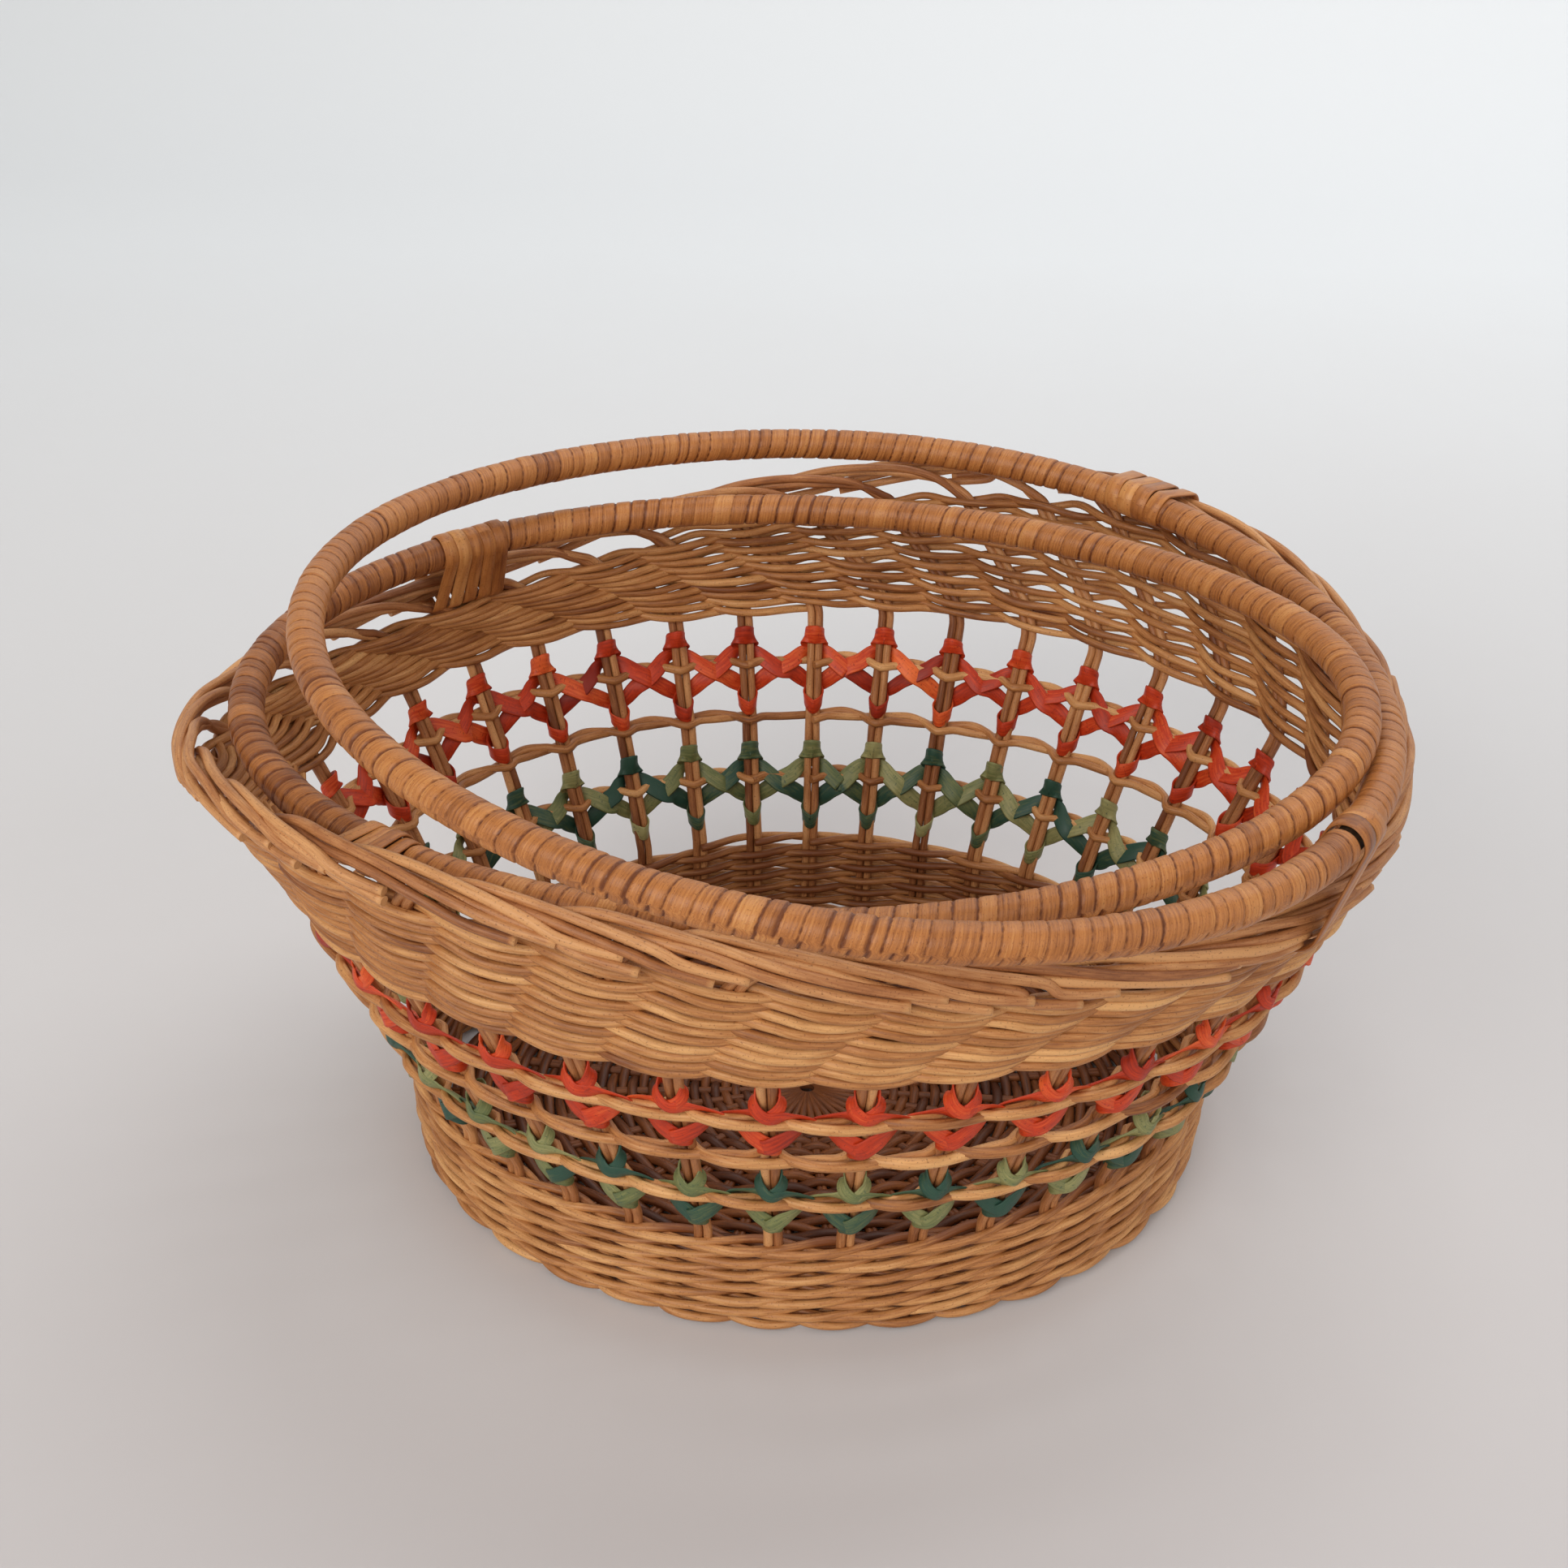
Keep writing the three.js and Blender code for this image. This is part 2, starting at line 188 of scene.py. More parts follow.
def mesh_of(name, strands):
    """One mesh of many strands, with UVs in millimetres along and turns around."""
    verts, tones, loops, starts, totals, uvs = [], [], [], [], [], []
    base = loop_base = 0
    for strand in strands:
        ring, length = strand["ring"], strand["length"]
        count, sides = ring.shape[:2]
        verts.append(ring.reshape(-1, 3) * MM)
        tones.append(np.repeat(strand["tone"], sides))
        rows = count if strand["closed"] else count - 1
        i, j = np.meshgrid(np.arange(rows), np.arange(sides), indexing="ij")
        i2, j2 = (i + 1) % count, (j + 1) % sides
        quads = np.stack([i * sides + j, i * sides + j2, i2 * sides + j2, i2 * sides + j], -1)
        loops.append(quads.reshape(-1) + base)
        far = np.where(i2 == 0, length[-1] + 1, length[i2])
        around = np.stack([j, j + 1, j + 1, j], -1) / sides
        lengthwise = np.stack([length[i], length[i], far, far], -1)
        shift = rng.uniform(0, 300)
        uvs.append(np.stack([lengthwise + shift, around], -1).reshape(-1, 2))
        starts.append(loop_base + 4 * np.arange(rows * sides))
        totals.append(np.full(rows * sides, 4))
        loop_base += 4 * rows * sides
        if not strand["closed"]:
            for end, order in ((0, -1), (count - 1, 1)):
                loops.append((end * sides + np.arange(sides))[::order] + base)
                uvs.append(np.column_stack([np.full(sides, shift), np.arange(sides) / sides]))
                starts.append(np.array([loop_base]))
                totals.append(np.array([sides]))
                loop_base += sides
        base += count * sides
    return new_mesh(name, *map(np.concatenate, (verts, loops, starts, totals, uvs, tones)))


def place_piece(name, mesh, material, body, nodes):
    piece = bpy.data.objects.new(name, mesh)
    bpy.context.scene.collection.objects.link(piece)
    mesh.materials.append(material)
    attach(piece, body)
    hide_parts(*nodes)


def add_piece(name, strands, material, body, nodes):
    place_piece(name, mesh_of(name, strands), material, body, nodes)


# ---- Materials ----
class Nodes:
    """Short ways to add and join the nodes of one material."""

    def __init__(self, name):
        self.material = bpy.data.materials.new(name)
        self.material.use_nodes = True
        self.tree = self.material.node_tree
        self.shader = self.tree.nodes["Principled BSDF"]

    def add(self, kind, **settings):
        node = self.tree.nodes.new(kind)
        for key, value in settings.items():
            setattr(node, key, value)
        return node

    def feed(self, socket, value):
        if isinstance(value, bpy.types.NodeSocket):
            self.tree.links.new(value, socket)
        else:
            socket.default_value = value

    def maths(self, operation, first, second):
        node = self.add("ShaderNodeMath", operation=operation)
        self.feed(node.inputs[0], first)
        self.feed(node.inputs[1], second)
        return node.outputs[0]

    def stretched(self, scale):
        uv = self.add("ShaderNodeTexCoord").outputs["UV"]
        mapping = self.add("ShaderNodeMapping")
        mapping.inputs["Scale"].default_value = scale
        self.feed(mapping.inputs["Vector"], uv)
        return mapping.outputs["Vector"]

    def noise(self, vector, scale, detail, rough):
        node = self.add("ShaderNodeTexNoise")
        self.feed(node.inputs["Vector"], vector)
        self.feed(node.inputs["Scale"], scale)
        self.feed(node.inputs["Detail"], detail)
        self.feed(node.inputs["Roughness"], rough)
        return node.outputs["Fac"]

    def ramp(self, value, stops):
        node = self.add("ShaderNodeValToRGB")
        elements = node.color_ramp.elements
        while len(elements) < len(stops):
            elements.new(0.5)
        for element, (place, color) in zip(elements, stops):
            element.position = place
            element.color = (*color, 1)
        self.feed(node.inputs["Fac"], value)
        return node.outputs["Color"]

    def mix(self, share, first, second):
        node = self.add("ShaderNodeMix", data_type="RGBA")
        self.feed(node.inputs["Factor"], share)
        self.feed(node.inputs["A"], first)
        self.feed(node.inputs["B"], second)
        return node.outputs["Result"]

    def bump(self, height, distance):
        node = self.add("ShaderNodeBump")
        self.feed(node.inputs["Strength"], 0.6)
        self.feed(node.inputs["Distance"], distance)
        self.feed(node.inputs["Height"], height)
        self.feed(self.shader.inputs["Normal"], node.outputs["Normal"])

    def tone(self):
        return self.add("ShaderNodeAttribute", attribute_name="tone").outputs["Fac"]


def cane_material(name, dark, middle, light, stain, rough=0.5, fibre=(0.05, 5), fibre_depth=0.00012,
                  mottle=0.6):
    """Reed or cane: long fibre streaks, a tone per strand, stains that wander along it. The
    fibre is how fine the streaks are along and around the strand, the mottle how blotchy."""
    n = Nodes(name)
    streaks = n.noise(n.stretched((fibre[0], fibre[1], 1)), 3.0, 4.0, 0.62)
    patches = n.noise(n.stretched((0.045, 0.8, 1)), 1.0, 3.0, 0.55)
    specks = n.noise(n.stretched((0.9, 7, 1)), 2.0, 2.0, 0.5)
    # The tone attribute holds each strand's own tone and, on some strands, painted shade.
    tone = n.tone()
    level = n.maths("ADD", n.maths("MULTIPLY", streaks, 0.8), n.maths("MULTIPLY", patches, mottle))
    level = n.maths("SUBTRACT", level, mottle / 2 - 0.1)
    level = n.maths("ADD", level, n.maths("SUBTRACT", tone, 0.5))
    color = n.ramp(level, [(0.18, dark), (0.50, middle), (0.85, light)])
    stained = n.ramp(specks, [(0.30, (0.6, 0.6, 0.6)), (0.40, (0, 0, 0)), (1.0, (0, 0, 0))])
    color = n.mix(stained, color, (*stain, 1))
    n.feed(n.shader.inputs["Base Color"], color)
    roughness = n.maths("ADD", n.maths("MULTIPLY", streaks, 0.25), rough - 0.12)
    n.feed(n.shader.inputs["Roughness"], roughness)
    n.shader.inputs["IOR"].default_value = 1.45
    n.bump(n.maths("ADD", streaks, n.maths("MULTIPLY", specks, 0.35)), fibre_depth)
    return n.material


REED_MATERIAL = cane_material(
    "round_reed", (0.19, 0.055, 0.013), (0.46, 0.190, 0.058), (0.74, 0.40, 0.155), (0.17, 0.050, 0.015))
STAKE_MATERIAL = cane_material(
    "stake_reed", (0.17, 0.050, 0.015), (0.40, 0.155, 0.052), (0.66, 0.33, 0.130), (0.14, 0.040, 0.013))
ORANGE_MATERIAL = cane_material(
    "orange_cane", (0.26, 0.014, 0.003), (0.57, 0.043, 0.006), (0.86, 0.17, 0.036), (0.20, 0.010, 0.003),
    fibre=(0.06, 9))
GREEN_MATERIAL = cane_material(
    "green_cane", (0.022, 0.070, 0.045), (0.155, 0.175, 0.060), (0.36, 0.33, 0.135), (0.010, 0.055, 0.048),
    fibre=(0.06, 9))
WRAP_MATERIAL = cane_material(
    "wrapped_cane", (0.17, 0.046, 0.010), (0.46, 0.170, 0.043), (0.70, 0.34, 0.110), (0.15, 0.038, 0.010),
    rough=0.42, fibre=(0.035, 3.4), fibre_depth=0.00026, mottle=0.25)
FLOOR_MATERIAL = cane_material(
    "shaded_reed", (0.08, 0.020, 0.005), (0.25, 0.075, 0.017), (0.44, 0.16, 0.042), (0.07, 0.016, 0.004))
CORE_MATERIAL = cane_material(
    "bare_core", (0.02, 0.012, 0.007), (0.07, 0.035, 0.017), (0.15, 0.08, 0.04), (0.012, 0.006, 0.004),
    rough=0.7)


# ---- The woven wall ----
# A strand's path over its repeat, as (stakes along, share). Its share of the rise, and how far
# out it lies as a share of its depth. A twined strand repeats over two stakes and lies in front
# of the stake at 0: in a close band, and in an open row, which dips in only right at a stake.
TWINED_RISE = (
    (-1.0, 0.1), (-0.75, 0.2), (-0.5, 0.95), (-0.3, 0.4), (-0.1, -0.4), (0.15, -0.55), (0.5, -0.35),
    (0.8, -0.05), (1.0, 0.1),
)
TWINED_CLOSE = (
    (-1.0, -0.88), (-0.75, -0.3), (-0.5, 0.7), (-0.25, 1.0), (0.0, 0.92), (0.25, 0.6), (0.5, -0.15),
    (0.75, -0.85), (1.0, -0.88),
)
TWINED_OPEN = (
    (-1.0, -0.8), (-0.94, -0.7), (-0.85, 0.4), (-0.5, 1.25), (-0.25, 1.2), (0.0, 0.95), (0.25, 0.65),
    (0.5, 0.42), (0.8, 0.3), (0.85, 0.1), (0.94, -0.7), (1.0, -0.8),
)
# A waled strand repeats over three stakes: behind the one at 0, in front of the other two.
WALED_RISE = ((0, 0.2), (0.6, -0.7), (1.2, -0.35), (2.4, 0.75), (3, 0.2))
WALED_OUT = ((0, -1), (0.25, -0.55), (0.75, 0.7), (1.6, 1.0), (2.25, 0.35), (2.75, -0.85), (3, -1))


def follow(place, path):
    return np.interp(place, *zip(*path))


def smooth(line, reach):
    """A running mean over reach values to each side."""
    weights = np.full(2 * reach + 1, 1 / (2 * reach + 1))
    return np.convolve(np.pad(line, reach, mode="edge"), weights, mode="valid")


def strand_places(strand, laps, per_stake):
    """Places along one strand of a band, counted in stakes, and how far round it is at each."""
    u = strand + np.linspace(0, laps * STAKE_COUNT, int(laps * STAKE_COUNT * per_stake))
    return u, (u - strand) / (laps * STAKE_COUNT)


def twined(first_z, last_z, laps, depth, rise, out_path, radius):
    """Two strands that change sides at every gap, each in front of every second stake. The one
    coming out covers the one going in."""
    strands = []
    for strand in (0, 1):
        u, done = strand_places(strand, laps, 14)
        past = np.mod(u - strand + 1, 2) - 1
        swing = smooth(follow(past, out_path), 1)
        z = first_z + (last_z - first_z) * done
        z = z + smooth(rise * follow(past, TWINED_RISE), 2) + wobble(u, 0.2, 0.5)
        size = radius * (1 + wobble(u, 0.06, 0.7))
        points = wall(at(u), z, depth * swing + wobble(u, 0.12, 0.5))
        # Painted shade: the tone is made darker where the strand goes in between the stakes and lighter
        # where it comes out in front.
        tone = 0.50 + wobble(u, 0.12, 3.0) + 0.06 * swing
        strands.append(sweep(points, outward(points), ROUND, size, size, tone))
    return strands


def waled(first_z, last_z, laps, depth, rise):
    """Three strands, each in front of two stakes and behind the third, as rising spirals."""
    strands = []
    for strand in range(3):
        u, done = strand_places(strand, laps, 12)
        past = np.mod(u - strand, 3)
        swing = smooth(follow(past, WALED_OUT), 3)
        z = first_z + (last_z - first_z) * done
        z = smooth(z + rise * follow(past, WALED_RISE) + wobble(u, 0.2, 0.5), 3)
        out = depth * swing * 1.08 + wobble(u, 0.12, 0.5)
        size = REED * (1 + wobble(u, 0.06, 0.7))
        points = wall(at(u), z, out)
        # Painted shade: the tone is made darker where the strand lies behind a stake and lighter where it
        # lies in front.
        tone = 0.38 + wobble(u, 0.10, 3.0) + 0.22 * swing
        strands.append(sweep(points, outward(points), ROUND, size, size, tone))
    return strands


def woven_bands():
    front = STAKE_REED + REED
    foot = waled(4.1, 30.3, 6, front, 1.3)
    foot += twined(1.6, 3.6, 1, front, 0.3, TWINED_CLOSE, REED)
    add_piece("foot_band_reed", foot, REED_MATERIAL, "basket", ["foot_band"])
    upper = twined(99.6, 126.2, 10, front + 0.1, 1.15, TWINED_CLOSE, FINE_REED)
    add_piece("upper_band_reed", upper, REED_MATERIAL, "basket", ["upper_band"])
    for name, z in (("green", GREEN_Z), ("middle", MIDDLE_Z), ("orange", ORANGE_Z)):
        row = twined(z, z, 1, front + 0.5, 0.7, TWINED_OPEN, ROW_REED)
        piece = f"twined_row_{name}"
        add_piece(f"{piece}_reed", row, REED_MATERIAL, "basket", [piece])


# ---- Stakes, turned down at the top into the border ----
UPRIGHT_HEIGHTS = [1.6, 20, 40, 50, 60, 67.9, 76, 84, 92, 100, 110, 119]
# Where a stake's end goes after that, as (stakes along, height, outward).
BORDER_PATH = [
    (0.00, 125.5, 0.0), (0.08, 128.4, -0.7), (0.30, 131.6, -1.7), (0.72, 134.3, -1.7),
    (1.20, 135.2, -0.3), (1.75, 134.8, 1.5), (2.35, 133.0, 3.0), (2.95, 130.7, 3.8), (3.45, 129.6, 4.2),
]


def catmull(points, per_span):
    """A smooth line through the points given, with per_span steps between two of them."""
    points = np.asarray(points, float)
    padded = np.concatenate([[2 * points[0] - points[1]], points, [2 * points[-1] - points[-2]]])
    t = np.linspace(0, 1, per_span, endpoint=False)[:, None]
    line = []
    for p0, p1, p2, p3 in zip(padded, padded[1:], padded[2:], padded[3:]):
        line.append(0.5 * (2 * p1 + (p2 - p0) * t + (2 * p0 - 5 * p1 + 4 * p2 - p3) * t ** 2
                           + (3 * p1 - p0 - 3 * p2 + p3) * t ** 3))
    return np.concatenate(line + [points[-1:]])


def spacing(u, z):
    """Millimetres from one stake to the next at a height."""
    return np.linalg.norm(wall(at(u + 0.5), z) - wall(at(u - 0.5), z), axis=-1)


def stakes_and_border():
    """Every stake is two reeds side by side, which turn down together over the next stakes."""
    strands = []
    for k in range(STAKE_COUNT):
        lean = rng.normal(0, 0.02)
        reach = rng.uniform(-0.45, 0.3)
        for half in (-1, 1):
            path = [(lean * (z / 130) + rng.normal(0, 0.004), z, 0) for z in UPRIGHT_HEIGHTS]
            stretch = 1 + rng.normal(0, 0.04) + half * 0.03
            for along, z, out in BORDER_PATH:
                stack = half * 1.05 * np.clip(along / 0.6, 0, 1)
                path.append((lean + along * stretch + (reach if along > 2.9 else 0),
                             z + stack + rng.normal(0, 0.3), out - 0.25 * stack + rng.normal(0, 0.25)))
            line = catmull(path, 7)
            beside = half * (STAKE_REED - 0.05) * (1 - np.clip(line[:, 0] - lean, 0, 0.5) / 0.5)
            u = k + line[:, 0] + beside / spacing(k + line[:, 0], line[:, 1])
            points = wall(at(u), line[:, 1], line[:, 2])
            steps = np.arange(len(u)) * 0.1
            size = STAKE_REED * (1 + wobble(steps, 0.04))
            tone = 0.48 + rng.normal(0, 0.12) + wobble(steps, 0.06)
            tone = tone + 0.14 * np.clip((line[:, 0] - lean) / 0.8, 0, 1)
            tone[-1] = 1.0           # the cut end is pale
            strands.append(sweep(points, outward(points), ROUND, size, size, tone))
    nodes = [f"stake_pair_{k + 1:02d}" for k in range(STAKE_COUNT)] + ["rolled_border"]
    add_piece("stakes_and_border_reed", strands, STAKE_MATERIAL, "basket", nodes)


# ---- Coloured strips ----
# One pass of the strip over a stake, as (stakes along, height, outward, turn of its flat side,
# share of its full width, lean). The turn is 0 or 2 where it lies on the outside of the stake
# and 1 where it lies on the inside. Its outer face leans down in the gaps between stakes.
OVER_TOP = [
    (-0.50, -1.4, -0.9, 0, 1.0, 1.2), (-0.32, 0.8, -0.2, 0, 0.95, 0.9), (-0.15, 2.8, 1.7, 0, 0.8, 0.2),
    (0.01, 3.6, 2.7, 0, 0.62, 0), (0.125, 5.8, 1.7, 0.1, 0.62, 0), (0.125, 8.3, -0.3, 0.5, 0.85, 0),
    (0.0, 9.6, -2.4, 1, 1.2, 0), (-0.125, 8.3, -0.3, 1.5, 0.85, 0), (-0.125, 5.6, 1.8, 1.9, 0.62, 0),
    (-0.01, 3.4, 3.2, 2, 0.62, 0), (0.15, 2.8, 2.2, 2, 0.8, 0.2), (0.32, 0.8, 0.4, 2, 0.95, 0.9),
]
OVER_BOTTOM = [
    (-0.50, -1.4, -0.2, 0, 1.0, 1.2), (-0.32, -3.8, 0.5, 0, 0.95, 0.9), (-0.15, -7.0, 1.8, 0, 0.9, 0.2),
    (0.02, -9.2, 2.6, 0, 0.9, 0), (0.12, -10.6, 1.2, 0.3, 0.8, 0), (0.11, -11.6, -0.6, 0.6, 0.8, 0),
    (0.0, -12.4, -2.3, 1, 0.9, 0), (-0.11, -11.6, -0.6, 1.4, 0.8, 0), (-0.12, -10.4, 1.4, 1.7, 0.8, 0),
    (-0.01, -8.8, 3.2, 2, 0.9, 0), (0.15, -6.6, 2.3, 2, 0.9, 0.2), (0.32, -3.8, 0.9, 2, 0.95, 0.9),
]
PER_SPAN = 5


def strip(name, row_z, material, node, lap_tones):
    """One flat strip that goes round twice, over the top of every second stake and under the
    others, so that its second lap crosses the first in every gap."""
    path, flat = [], []
    passes = STAKE_COUNT * 2
    for k in range(passes):
        lift = rng.normal(0, 0.35)
        for along, z, out, *rest in OVER_BOTTOM if k % 2 else OVER_TOP:
            jitter = rng.normal(0, 0.12, 2)
            path.append((k + along, row_z + z + lift + jitter[0], out + jitter[1] * 0.6))
            flat.append(rest)
    path.append((passes - 0.5, row_z - 1.4, -0.4))
    flat.append((2, 1.0, OVER_TOP[0][5]))
    line = catmull(path, PER_SPAN)
    place = np.arange(len(line)) / PER_SPAN
    turns, share, lean = (np.interp(place, np.arange(len(flat)), knots) for knots in zip(*flat))
    # from the last point of a pass to the first of the next the side stays the same, 2 or 0
    turns[np.mod(place, len(OVER_TOP)) > len(OVER_TOP) - 1] = 2
    points = wall(at(line[:, 0]), line[:, 1], line[:, 2])
    out = outward(points)
    across = np.cross(UP, out)
    angle = turns * math.pi
    normals = out * np.cos(angle)[:, None] + across * np.sin(angle)[:, None]
    normals[:, 2] -= lean
    steps = place / len(OVER_TOP)
    width = STRIP_HALF_WIDTH * share * (1 + wobble(steps, 0.07, 0.35))
    tone = np.where(steps < STAKE_COUNT, *lap_tones) + wobble(steps, 0.11, 0.5)
    ribbon = sweep(points, normals, FLAT, width, STRIP_HALF_THICK, tone)
    add_piece(name, [ribbon], material, "basket", [node])


# ---- Hoop handles ----
def hoop_points(hoop, angle):
    thrice = np.stack([np.cos(3 * angle), np.sin(3 * angle)], -1)
    waves = np.concatenate([np.stack([np.cos(2 * angle), np.sin(2 * angle)], -1), thrice], -1)
    flat = np.stack([hoop["a"] * np.cos(angle), hoop["b"] * np.sin(angle)], -1)
    flat = flat * (1 + thrice @ np.array(hoop["swell"]))[:, None]
    cos, sin = math.cos(hoop["turn"]), math.sin(hoop["turn"])
    flat = flat @ np.array([[cos, sin], [-sin, cos]])
    lift = flat @ np.array(hoop["slope"]) + waves @ np.array(hoop["wave"])
    return np.column_stack([flat, lift]) + np.asarray(hoop["middle"])


def lashed_place(hoop, side):
    """The border's point, and the hoop's angle, where the hoop is lashed at the back (side 1)
    or the front (side -1)."""
    middles = wall(at(np.arange(STAKE_COUNT) + 0.5), BORDER_Z)
    away = np.abs(middles[:, 0] - hoop["lashed"]) + np.where(middles[:, 1] * side < 0, 1000, 0)
    border = middles[away.argmin()]
    angle = np.arange(3600) / 3600 * TURN
    return border, angle[np.linalg.norm(hoop_points(hoop, angle) - border, axis=1).argmin()]


def hoop_frame(hoop, angle):
    points = hoop_points(hoop, angle)
    up = unit(np.array([[-hoop["slope"][0], -hoop["slope"][1], 1.0]]))
    return points, np.repeat(up, len(points), 0)


def cane_wrap(hoop, start, end, tone_shift):
    """A sleeve of close cane turns. Every turn is a little raised in the middle and has its
    own width and tone, and a thin slanted groove parts it from the next. A few gaps are wider."""
    fine = np.linspace(start, end, 4000)
    line = hoop_points(hoop, fine)
    length = np.concatenate([[0], np.cumsum(np.linalg.norm(np.diff(line, axis=0), axis=1))])
    count = int(length[-1] / 0.42)
    angle = np.interp(np.linspace(0, length[-1], count), length, fine)
    points, up = hoop_frame(hoop, angle)
    widths = np.clip(rng.normal(CANE_WIDTH, CANE_VARIES, int(length[-1] / 3)), 2.7, 6.6)
    edges = np.concatenate([[0], np.cumsum(widths)])
    gaps = np.where(rng.random(len(edges)) < 0.14, rng.uniform(0.35, 0.7, len(edges)), 0.1)
    depths = rng.uniform(0.06, 0.5, len(edges)) + 0.5 * gaps
    tones = rng.normal(0.47, 0.05, len(edges)) + tone_shift
    swell = rng.normal(0, 0.05, len(edges))
    sides = 28
    around = np.arange(sides) / sides
    slant = 5.0 * (1 - around)
    along = np.linspace(0, length[-1], count)[:, None] + slant[None, :]
    turn = np.clip(np.searchsorted(edges, along.ravel(), "right") - 1, 0, len(widths) - 1)
    turn = turn.reshape(along.shape)
    inside = along - edges[turn]
    to_edge = np.minimum(inside, edges[turn + 1] - inside - edges[turn])
    cut = np.clip(1 - to_edge / (0.22 + gaps[turn]), 0, 1) ** 1.5 * depths[turn]
    bulge = 1 - ((inside / widths[turn] - 0.5) * 2) ** 4
    radius = WRAP_RADIUS + swell[turn] + 0.10 * bulge - cut
    radius = radius + 0.06 * (inside / widths[turn] - 0.5)
    along_axis = unit(np.gradient(points, axis=0))
    side = np.cross(along_axis, up)
    turn_angle = around * TURN
    ring = (points[:, None, :]
            + side[:, None, :] * (radius * np.cos(turn_angle))[:, :, None]
            + up[:, None, :] * (radius * np.sin(turn_angle))[:, :, None])
    # Painted shade: each turn's tone is darkened in the groove to the next, the more the deeper the
    # groove.
    return dict(ring=ring, turn=turn, inside=inside, tone=tones[turn] - 1.1 * cut)


def wrap_mesh(name, wrap):
    """The sleeve's mesh. Its UVs run round the rod, as the cane's fibres do."""
    count, sides = wrap["ring"].shape[:2]
    i, j = np.meshgrid(np.arange(count - 1), np.arange(sides), indexing="ij")
    j2 = (j + 1) % sides
    corners = np.stack([i * sides + j, i * sides + j2, (i + 1) * sides + j2, (i + 1) * sides + j], -1)
    corners = corners.reshape(-1, 4)
    lane = wrap["turn"].reshape(-1)[corners[:, :1]] * 7.3
    across = wrap["inside"].reshape(-1)[corners] * 0.2 + lane
    fibre = np.stack([j, j + 1, j + 1, j], -1).reshape(-1, 4) / sides * 27 + lane * 31
    uvs = np.stack([fibre, across], -1)
    starts = 4 * np.arange(len(corners))
    totals = np.full(len(corners), 4)
    verts = wrap["ring"].reshape(-1, 3) * MM
    return new_mesh(name, verts, corners.ravel(), starts, totals, uvs, wrap["tone"].ravel())


def make_hoop(hoop, short_shade_and_fade):
    """A rod, bare at its two lashings, with a long and a short cane wrap between them."""
    name = hoop["name"]
    border_back, back = lashed_place(hoop, 1)
    border_front, front = lashed_place(hoop, -1)
    front -= TURN
    near = hoop_points(hoop, np.array([back - 0.005, back + 0.005]))
    bare = BARE_LENGTH / (np.linalg.norm(near[1] - near[0]) / 0.01)
    right = (front + bare, back - bare)
    left = (back + bare, front + TURN - bare)
    long, short = (right, left) if hoop["lashed"] < 0 else (left, right)
    points, up = hoop_frame(hoop, np.linspace(0, TURN, 360, endpoint=False))
    rod = sweep(points, up, ROUND, CORE_RADIUS, CORE_RADIUS, 0.5, closed=True)
    add_piece(f"{name}_rod", [rod], CORE_MATERIAL, name, [f"{name}_core"])
    # The short wrap's tones are shifted by the amount given, partly painted shade.
    for part, span, shift in (("long", long, 0.0), ("short", short, short_shade_and_fade)):
        node = f"{name}_{part}_wrap"
        mesh = wrap_mesh(node, cane_wrap(hoop, *span, shift))
        place_piece(f"{node}_cane", mesh, WRAP_MATERIAL, name, [node])
    lashing(hoop, back, border_back, "back", **hoop["back"])
    lashing(hoop, front, border_front, "front", **hoop["front"])


def lashing(hoop, angle, border, place, turns, half_width, offset=0.0, tucked=False, slack=0.5):
    """Turns of flat cane round the border and the hoop's bare core."""
    core = hoop_points(hoop, np.array([angle - 0.01, angle, angle + 0.01]))
    along = unit(core[2:] - core[:1])[0]
    core = core[1]
    across = unit((core - border)[None])[0]
    if tucked:
        border = border + across * 4.0
    along = unit((along - across * along.dot(across))[None])[0]
    up = np.cross(across, along)
    core_radius, border_radius = 4.6, 2.4 if tucked else 6.0
    strands = []
    for turn in range(turns):
        spread = (turn - (turns - 1) / 2) * half_width * 1.9 + offset
        grow, skew, lean = rng.normal(0, 0.15), rng.normal(0, 1.6 * slack), rng.normal(0, slack)
        points, normals = [], []
        for step in range(48):
            around = step / 48 * TURN
            out = across * math.cos(around) + up * math.sin(around)
            over_core = core.dot(out) + core_radius > border.dot(out) + border_radius
            foot = core + along * spread if over_core else border + along * (spread * 1.15 + skew)
            radius = (core_radius if over_core else border_radius) + grow
            points.append(foot + out * radius + along * lean * math.sin(around))
            normals.append(out)
        tone = 0.5 + rng.normal(0, 0.1)
        points, normals = np.array(points), np.array(normals)
        strands.append(sweep(points, normals, FLAT, half_width, 0.4, tone, closed=True))
    name = f"{hoop['name']}_lashing_{place}"
    add_piece(f"{name}_cane", strands, WRAP_MATERIAL, "basket", [name])


# ---- Floor mat ----
FLOOR_LONG, FLOOR_DEEP, FLOOR_HEIGHT = 103, 82, 2.4      # half lengths of the oval, middle height


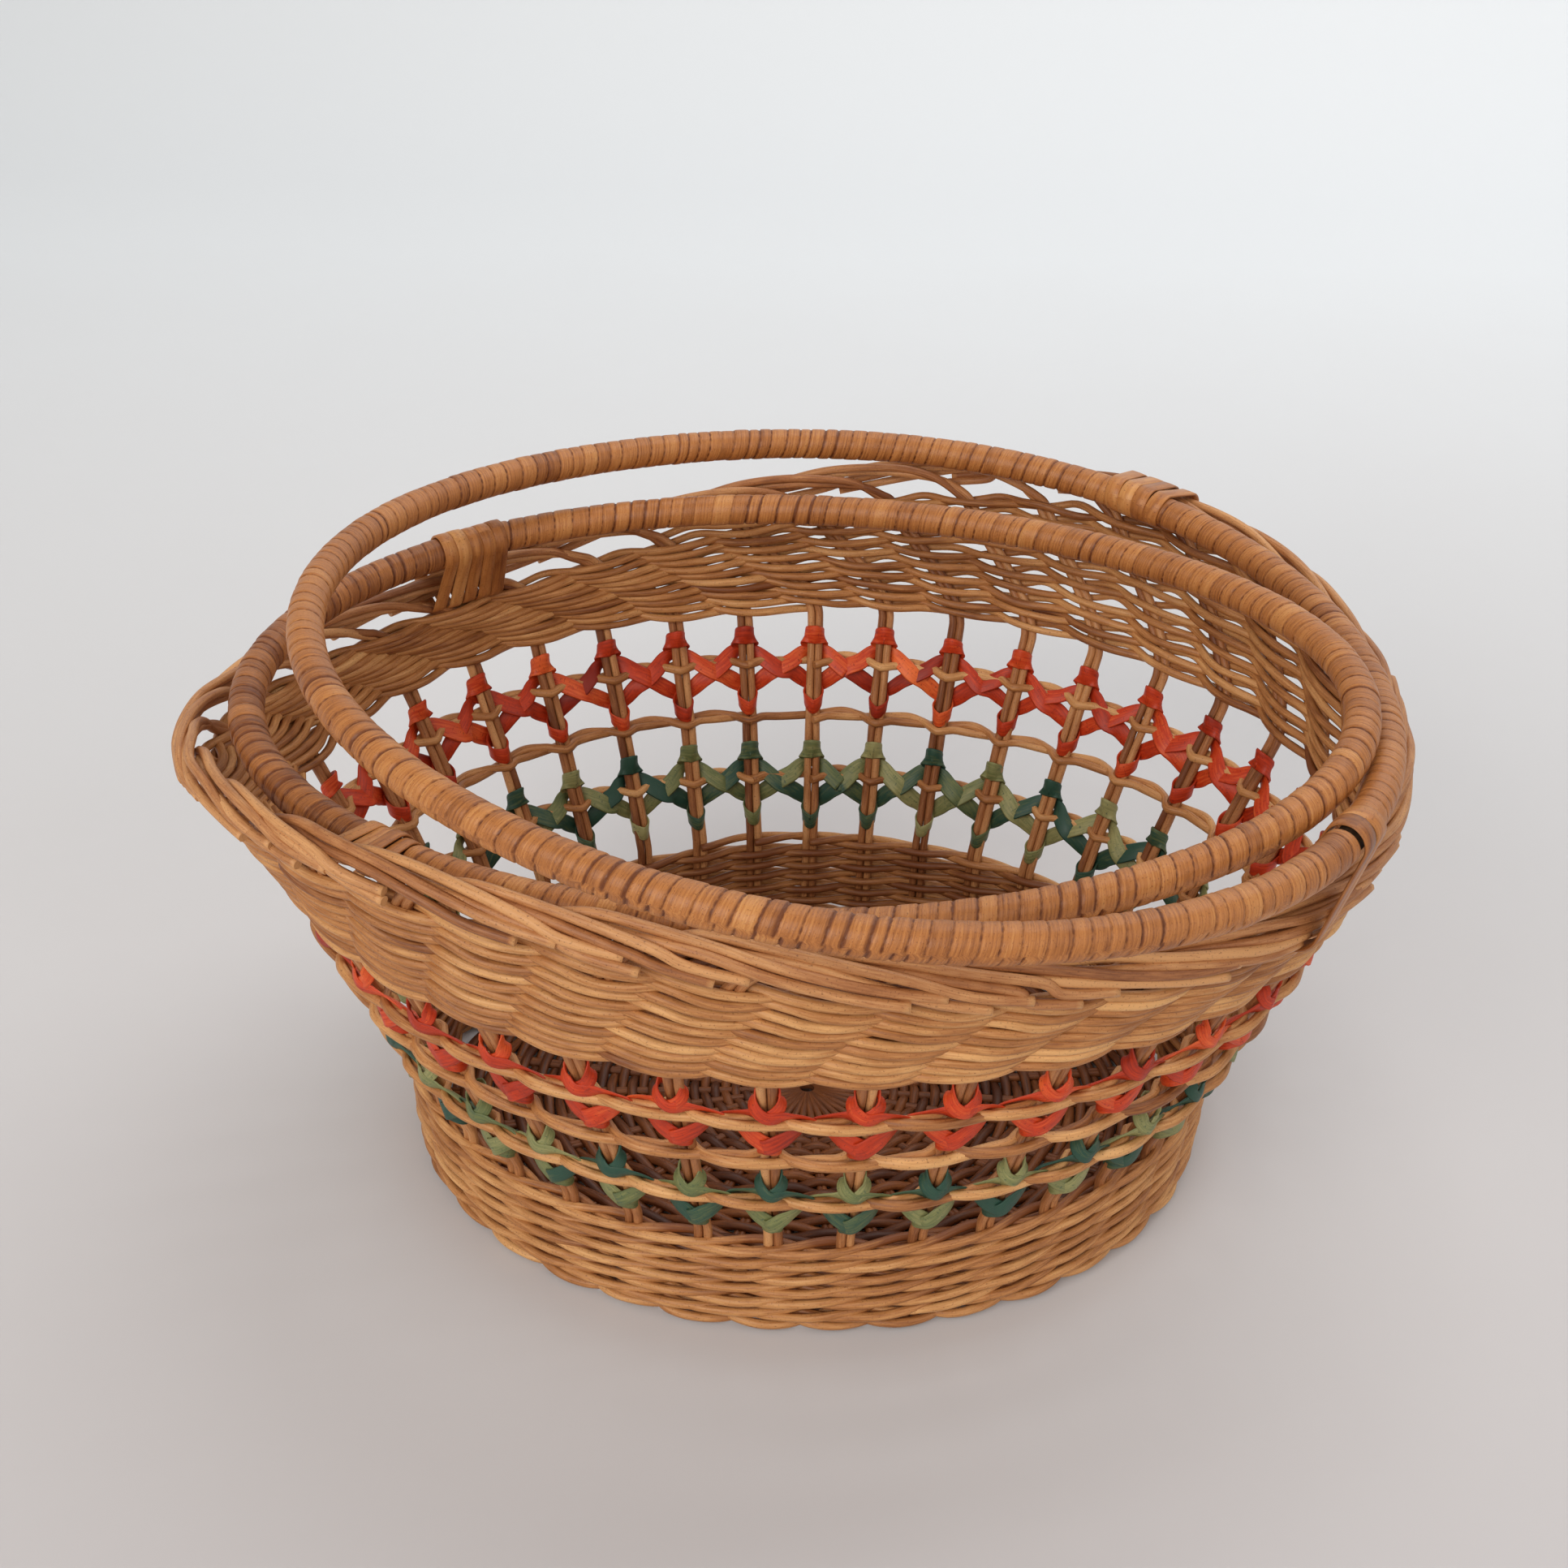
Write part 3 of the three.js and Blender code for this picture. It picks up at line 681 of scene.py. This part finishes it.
def floor_mat():
    """A mat woven as one flat spiral round pairs of spokes that fan out from its middle."""
    laps = 29
    u = np.linspace(0, laps * STAKE_COUNT, laps * STAKE_COUNT * 8)
    share = 0.16 + 0.82 * u / (laps * STAKE_COUNT)
    swing = np.cos(math.pi * u)
    z = FLOOR_HEIGHT + swing * 1.15 * np.clip(share * 2.2, 0.3, 1) + wobble(u, 0.06)
    angle = at(u)
    points = np.stack([share * FLOOR_LONG * np.cos(angle), share * FLOOR_DEEP * np.sin(angle), z], -1)
    tone = 0.32 + wobble(u, 0.1, 3.0)
    strands = [sweep(points, np.tile(UP, (len(u), 1)), ROUND, 1.4, 1.1, tone)]
    reach = np.linspace(0.02, 0.985, 12)
    for k in range(STAKE_COUNT):
        for half in (-1, 1):
            spoke = at(k) + half * 0.9 / 95
            line = np.stack([reach * (FLOOR_LONG + 1) * math.cos(spoke),
                             reach * (FLOOR_DEEP + 1) * math.sin(spoke),
                             np.full(len(reach), FLOOR_HEIGHT)], -1)
            strands.append(sweep(line, np.tile(UP, (len(reach), 1)), ROUND, 0.95, 0.95, 0.4))
    add_piece("floor_mat_reed", strands, FLOOR_MATERIAL, "basket", ["floor_mat"])


woven_bands()
stakes_and_border()
strip("orange_strip_cane", ORANGE_Z, ORANGE_MATERIAL, "orange_strip", (0.50, 0.44))
strip("green_strip_cane", GREEN_Z, GREEN_MATERIAL, "green_strip", (0.62, 0.24))
# The lower hoop's short wrap is painted 0.12 darker: partly painted shade, as that wrap lies in shadow,
# and partly faded cane.
make_hoop(LOWER_HOOP, -0.12)
make_hoop(UPPER_HOOP, 0.0)
floor_mat()


# ---- Stage ----
def backdrop():
    """A pale sheet that lies under the basket and curves up behind it."""
    profile = [(-2.2, 0.0), (0.9, 0.0)]
    for step in range(1, 13):
        bend = step / 12 * math.pi / 2
        profile.append((0.9 + 0.6 * math.sin(bend), 0.6 - 0.6 * math.cos(bend)))
    profile.append((1.5, 3.0))
    verts = [(x, y, z) for y, z in profile for x in (-3.0, 3.0)]
    faces = [(2 * i, 2 * i + 1, 2 * i + 3, 2 * i + 2) for i in range(len(profile) - 1)]
    mesh = bpy.data.meshes.new("backdrop")
    mesh.from_pydata(verts, [], faces)
    for polygon in mesh.polygons:
        polygon.use_smooth = True
    sheet = bpy.data.objects.new("backdrop", mesh)
    bpy.context.scene.collection.objects.link(sheet)
    n = Nodes("pale_sheet")
    where = n.add("ShaderNodeTexCoord").outputs["Object"]
    split = n.add("ShaderNodeSeparateXYZ")
    n.feed(split.inputs[0], where)
    # Painted shade and light: the sheet is darkest at the front and lightest at the back, as the light
    # falls on it; its tint goes from pinkish at the front to bluish at the back.
    far = n.maths("ADD", n.maths("MULTIPLY", split.outputs["Y"], 0.8), 0.35)
    far = n.maths("ADD", far, n.maths("MULTIPLY", n.noise(where, 9.0, 5.0, 0.6), 0.08))
    near_color, middle_color, far_color = (0.51, 0.470, 0.475), (0.65, 0.635, 0.64), (0.76, 0.78, 0.80)
    color = n.ramp(far, [(0.0, near_color), (0.45, middle_color), (1.0, far_color)])
    n.feed(n.shader.inputs["Base Color"], color)
    n.shader.inputs["Roughness"].default_value = 0.85
    mesh.materials.append(n.material)
    sheet.location.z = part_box("foot_band")[0][2] - 0.0002


def area_light(name, place, aim, size, power, color):
    light = bpy.data.lights.new(name, "AREA")
    light.shape = "RECTANGLE"
    light.size, light.size_y = size
    light.energy = power
    light.color = color
    lamp = bpy.data.objects.new(name, light)
    lamp.location = place
    lamp.rotation_euler = (Vector(aim) - Vector(place)).to_track_quat("-Z", "Y").to_euler()
    bpy.context.scene.collection.objects.link(lamp)


def camera():
    data = bpy.data.cameras.new("camera")
    data.lens, data.sensor_width = 44.69, 36
    data.clip_start = 0.02
    eye = bpy.data.objects.new("camera", data)
    down = math.radians(32.65)
    roll = 0.0214
    ahead = Vector((0, math.cos(down), -math.sin(down)))
    level_up = Vector((0, math.sin(down), math.cos(down)))
    right = Vector((math.cos(roll), 0, 0)) + math.sin(roll) * level_up
    up = right.cross(ahead)
    turn = Matrix((right, up, -ahead)).transposed().to_4x4()
    eye.matrix_world = Matrix.Translation(Vector((-8.35, -416.3, 371.6)) * MM) @ turn
    bpy.context.scene.collection.objects.link(eye)
    bpy.context.scene.camera = eye


backdrop()
area_light("window", (-0.7, -1.2, 0.95), (0, 0, 0.08), (1.2, 1.0), 17, (1.0, 0.98, 0.94))
area_light("room", (1.2, -0.9, 0.9), (0, 0, 0.08), (1.5, 1.2), 5.5, (1.0, 0.98, 0.95))
area_light("wall_glow", (0.9, 0.8, 1.7), (0.7, 1.5, 0.4), (2.6, 1.0), 21, (0.98, 0.99, 1.0))
world = bpy.data.worlds.new("soft_room")
world.use_nodes = True
world.node_tree.nodes["Background"].inputs["Color"].default_value = (1.0, 0.96, 0.91, 1)
world.node_tree.nodes["Background"].inputs["Strength"].default_value = 0.35
bpy.context.scene.world = world
bpy.context.scene.view_settings.view_transform = "Standard"
camera()
